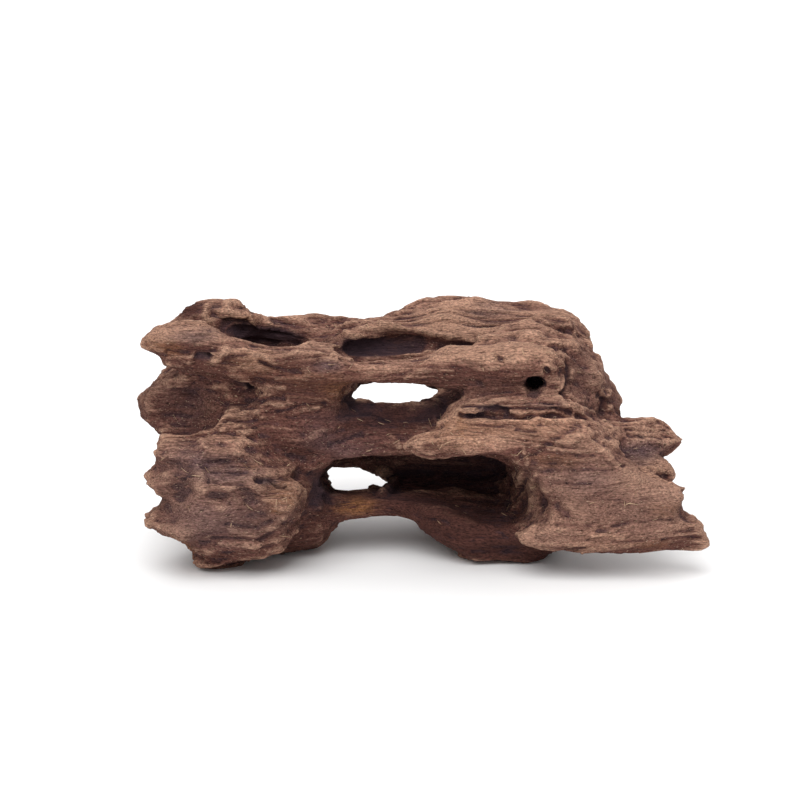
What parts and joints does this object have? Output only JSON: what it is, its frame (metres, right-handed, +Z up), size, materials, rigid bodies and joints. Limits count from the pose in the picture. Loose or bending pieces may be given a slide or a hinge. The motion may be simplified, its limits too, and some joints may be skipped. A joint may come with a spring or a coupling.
{
  "type": "honeycomb driftwood",
  "caption": "Weathered block of honeycomb driftwood with hollows worn through it along the grain, for an aquarium or terrarium.",
  "frame": {"origin": "middle of the bounding box, on the floor the wood stands on", "axes": "+X along the grain and the length, to the right in the front view; +Y from the front to the back; +Z up"},
  "size_m": [0.2935, 0.1363, 0.1257],
  "materials": {
    "wood": "weathered, matt, dark brown with tan worn ridges"
  },
  "bodies": {
    "root": {"honeycomb_wood": "wood"}
  },
  "joints": []
}
